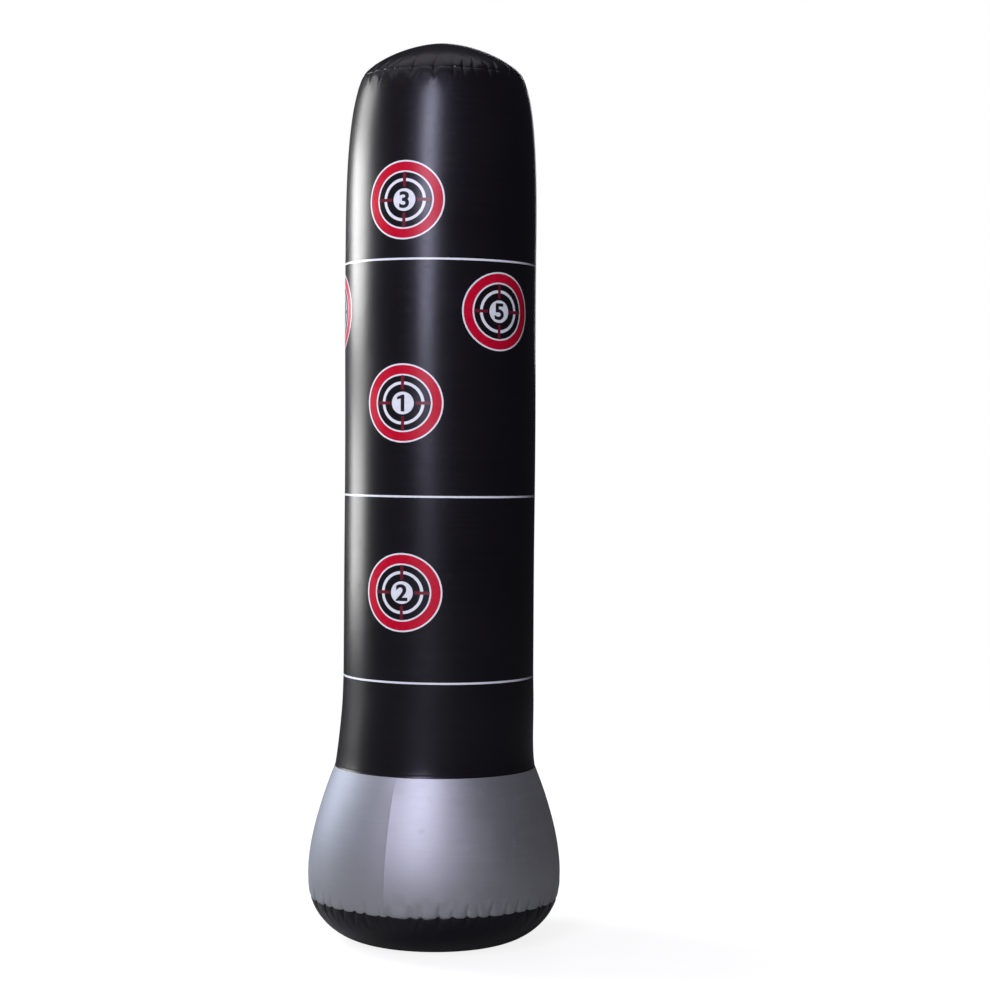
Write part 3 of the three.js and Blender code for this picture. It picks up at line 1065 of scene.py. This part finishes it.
def make_cap(name, valve):
    """A screw cap: a grooved rim, a dished top, a bar to turn it by, and a hollow plug with a thread."""
    cap, plug = valve["cap"], valve["bore"] - 0.5
    rim, dish, roof = cap - 0.01, CAP_HIGH - 0.7, CAP_LOW + 0.6
    outer = rounded(
        (0, dish, 0), (cap - 6.5, dish, 0.5), (cap - 5.9, CAP_HIGH, 0.35), (rim, CAP_HIGH, 0.9),
        (rim, CAP_LOW, 0.4), (plug + 0.5, CAP_LOW, 0.2), (plug + 0.5, CAP_LOW - 0.1, 0),
    )
    outer[-1] = (plug, CAP_LOW - 0.2)
    threads = []
    for k in range(7):
        height = 5.6 - 1.3 * k
        threads += [(plug - 0.3, height), (plug, height - 0.3)]
        threads += [(plug, height - 0.6), (plug - 0.3, height - 0.9)]
    threads = [corner for corner in threads if corner[1] > PLUG_LOW + 0.4]
    wall = plug - 1.6
    inside = [(plug - 0.4, PLUG_LOW + 0.4), (plug - 0.8, PLUG_LOW)]
    inside += [(wall, PLUG_LOW), (wall, roof), (0, roof)]
    piece = turned(name, outer + threads + inside, 144)
    for v in piece.data.vertices:
        away = v.co.xy.length
        if away > (cap - GROOVE_WIDTH) * MM:
            turn = math.atan2(v.co.y, v.co.x)
            share = min(1, away / MM - cap + GROOVE_WIDTH)
            dip = GROOVE_DEPTH * MM * max(0, math.cos(turn * GROOVES)) ** 2 * share
            v.co.xy *= 1 - dip / away
    join(piece, rounded_box("bar", (2 * cap - 8, 4, 4.6), (0, 0, CAP_HIGH + 0.2), 1.1))
    return piece


def make_leash(name, valve):
    """The strap that keeps the cap on the bag: two rings, one on the collar and one under the cap."""
    collar, cap, bore = valve["collar"], valve["cap"], valve["bore"]
    low_ring = rounded(
        (collar + 0.6, LEASH_LOW[0], 0.25), (collar + 3.1, LEASH_LOW[0], 0.25),
        (collar + 3.1, LEASH_LOW[1], 0.25), (collar + 0.6, LEASH_LOW[1], 0.25),
    )
    high_ring = rounded(
        (bore - 0.1, LEASH_HIGH[0], 0.2), (collar - 0.3, LEASH_HIGH[0], 0.25),
        (collar - 0.3, LEASH_HIGH[1], 0.25), (bore - 0.1, LEASH_HIGH[1], 0.2),
    )
    low, high = sum(LEASH_LOW) / 2, sum(LEASH_HIGH) / 2
    bend, middle = (high - low) / 2, (high + low) / 2
    bend_at = cap + 5
    path = [(y, low) for y in np.linspace(collar + 1.2, bend_at, 8)[:-1]]
    for t in np.linspace(-math.pi / 2, math.pi / 2, 17):
        path.append((bend_at + bend * math.cos(t), middle + bend * math.sin(t)))
    path += [(y, high) for y in np.linspace(bend_at, collar - 1.2, 8)[1:]]
    path = np.array(path)
    ahead = np.gradient(path, axis=0)
    ahead /= np.hypot(ahead[:, 0], ahead[:, 1])[:, None]
    half, thick, soft = 3, 0.5, 0.25
    section = [
        (-half + soft, -thick), (half - soft, -thick), (half, -thick + soft), (half, thick - soft),
        (half - soft, thick), (-half + soft, thick), (-half, thick - soft), (-half, -thick + soft),
    ]
    work = bmesh.new()
    rings = []
    for (y, z), (ty, tz) in zip(path, ahead):
        rings.append([work.verts.new(Vector((x, y - tz * h, z + ty * h)) * MM) for x, h in section])
    for a, b in zip(rings, rings[1:]):
        for j in range(len(section)):
            k = (j + 1) % len(section)
            work.faces.new((a[j], a[k], b[k], b[j]))
    work.faces.new(rings[0])
    work.faces.new(rings[-1])
    bmesh.ops.recalc_face_normals(work, faces=work.faces[:])
    piece = object_from(work, name)
    join(piece, turned("low_ring", low_ring, 96))
    join(piece, turned("high_ring", high_ring, 96))
    return piece


def make_valve(name, valve):
    place = valve_matrix(valve)
    short = name.split("_")[0]
    for part, make in (("cap", make_cap), ("leash", make_leash)):
        piece = make(f"{name}_{part}_moulding", valve)
        piece.data.transform(place)
        piece.data.materials.clear()
        piece.data.materials.append(valve_plastic)
        shade_by_angle(piece)
        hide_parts(f"{name}_{part}")
        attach(piece, f"{short}_{part}")


for name, valve in VALVES.items():
    make_valve(name, valve)

# ---- the CAD pieces that stay

CAD_FINISH = {
    "air_valve_collar": natural_vinyl,
    "water_valve_collar": natural_vinyl,
    "chamber_divider": natural_vinyl,
    "air_valve_gasket": seal_rubber,
    "water_valve_gasket": seal_rubber,
    "air_valve_flap": seal_rubber,
}
for node, material in CAD_FINISH.items():
    slots = frame["nodes"][node].data.materials
    slots.clear()
    slots.append(material)

# ---- floor, light and background


def make_floor():
    """A pale floor that glows to the camera, so that it runs into the background. Its glow dims towards
    the bag, which paints a soft shade round the bag's foot.
    """
    mesh = bpy.data.meshes.new("floor")
    reach = 30
    corners = [(-reach, -reach, 0), (reach, -reach, 0), (reach, reach, 0), (-reach, reach, 0)]
    mesh.from_pydata(corners, [], [(0, 1, 2, 3)])
    floor = add_object("floor", mesh)
    floor.location.z = -0.5 * MM
    floor.visible_diffuse = False
    paint = Paint("floor_paint")
    paint.shader.inputs["Base Color"].default_value = (0.16, 0.16, 0.16, 1)
    paint.shader.inputs["Roughness"].default_value = 0.95
    where = paint.node("NewGeometry").outputs["Position"]
    away = paint.node("VectorMath", operation="LENGTH")
    paint.links.new(where, away.inputs[0])
    # Painted shade: the glow is 0.86 within 0.15 m of the bag's axis and rises to 1.0 at 1.3 m.
    glow_with_painted_shade = paint.ranged(away.outputs["Value"], 0.15, 1.3, 0.86, 1.0)
    speck = paint.ranged(paint.noise(where, 9, 4), 0.3, 0.7, 0.985, 1.0)
    paint.shader.inputs["Emission Color"].default_value = (1, 1, 1, 1)
    seen = paint.ranged(paint.node("LightPath").outputs["Is Camera Ray"], 0, 1, 0.014, 1)
    paint.set("Emission Strength", paint.times(seen, paint.times(glow_with_painted_shade, speck)))
    mesh.materials.append(paint.material)


def softbox(name, turn, distance, height, size, power, color=(1, 1, 1), aim=0.9):
    """An area light. Its turn, in degrees, counts from the camera's side, positive to the right."""
    data = bpy.data.lights.new(name, "AREA")
    data.shape = "RECTANGLE"
    data.size, data.size_y = size
    data.energy = power
    data.color = color
    light = add_object(name, data)
    a = math.radians(CAMERA_TURN + turn)
    light.location = (distance * math.sin(a), -distance * math.cos(a), height)
    toward = Vector((0, 0, aim)) - light.location
    light.rotation_euler = toward.to_track_quat("-Z", "Y").to_euler()
    return light


def keep_off(light, pieces):
    """Flags a light off some pieces."""
    flagged = bpy.data.collections.new(light.name + "_flag")
    for piece in pieces:
        flagged.objects.link(piece)
    light.light_linking.receiver_collection = flagged
    for entry in flagged.collection_objects:
        entry.light_linking.link_state = "EXCLUDE"


def make_world():
    world = bpy.data.worlds.new("studio")
    world.use_nodes = True
    bpy.context.scene.world = world
    nodes, links = world.node_tree.nodes, world.node_tree.links
    nodes.clear()
    seen = nodes.new("ShaderNodeBackground")
    seen.inputs["Color"].default_value = (1, 1, 1, 1)
    seen.inputs["Strength"].default_value = 1
    felt = nodes.new("ShaderNodeBackground")
    felt.inputs["Color"].default_value = (0.86, 0.82, 1, 1)
    felt.inputs["Strength"].default_value = 0.034
    path = nodes.new("ShaderNodeLightPath")
    mix = nodes.new("ShaderNodeMixShader")
    out = nodes.new("ShaderNodeOutputWorld")
    links.new(path.outputs["Is Camera Ray"], mix.inputs[0])
    links.new(felt.outputs[0], mix.inputs[1])
    links.new(seen.outputs[0], mix.inputs[2])
    links.new(mix.outputs[0], out.inputs[0])


make_floor()
make_world()
GORE_SKINS = [bpy.data.objects[f"base_gore_{side}_skin"] for side in ("left", "right", "rear")]
BLACK_SKINS = [bpy.data.objects[f"{part}_skin"] for part in ("column", "top", "bottom")]
STRIPS = (  # name, height, size and power of the three left-hand strips
    ("upper", 2.03, (1.0, 0.54), 10),
    ("middle", 1.43, (1.0, 0.6), 24),
    ("lower", 0.7, (1.0, 0.52), 13),
)
for name, height, size, power in STRIPS:
    strip = softbox(f"left_strip_{name}", turn=-114, distance=1.9, height=height, size=size, power=power)
    keep_off(strip, GORE_SKINS)
low_left = softbox(
    "low_left", turn=-116, distance=1.9, height=1.4, size=(0.86, 2.2), power=22, color=(0.74, 0.8, 1)
)
keep_off(low_left, BLACK_SKINS)
softbox(
    "front_softbox", turn=-16, distance=3.4, height=2.3, size=(0.8, 2.3), power=78, color=(0.75, 0.73, 1)
)
softbox(
    "overhead", turn=-90, distance=0.4, height=3.4, size=(2.4, 3.0), power=14,
    color=(0.95, 0.92, 1), aim=1.5,
)
softbox(
    "rear_fill", turn=170, distance=3.2, height=1.9, size=(1.0, 1.6), power=14, color=(0.95, 0.96, 1)
)
front_fill = softbox("front_fill", turn=-12, distance=3.6, height=1.4, size=(2.4, 2.4), power=75)
front_fill.visible_glossy = False
bpy.context.scene.view_settings.view_transform = "Standard"
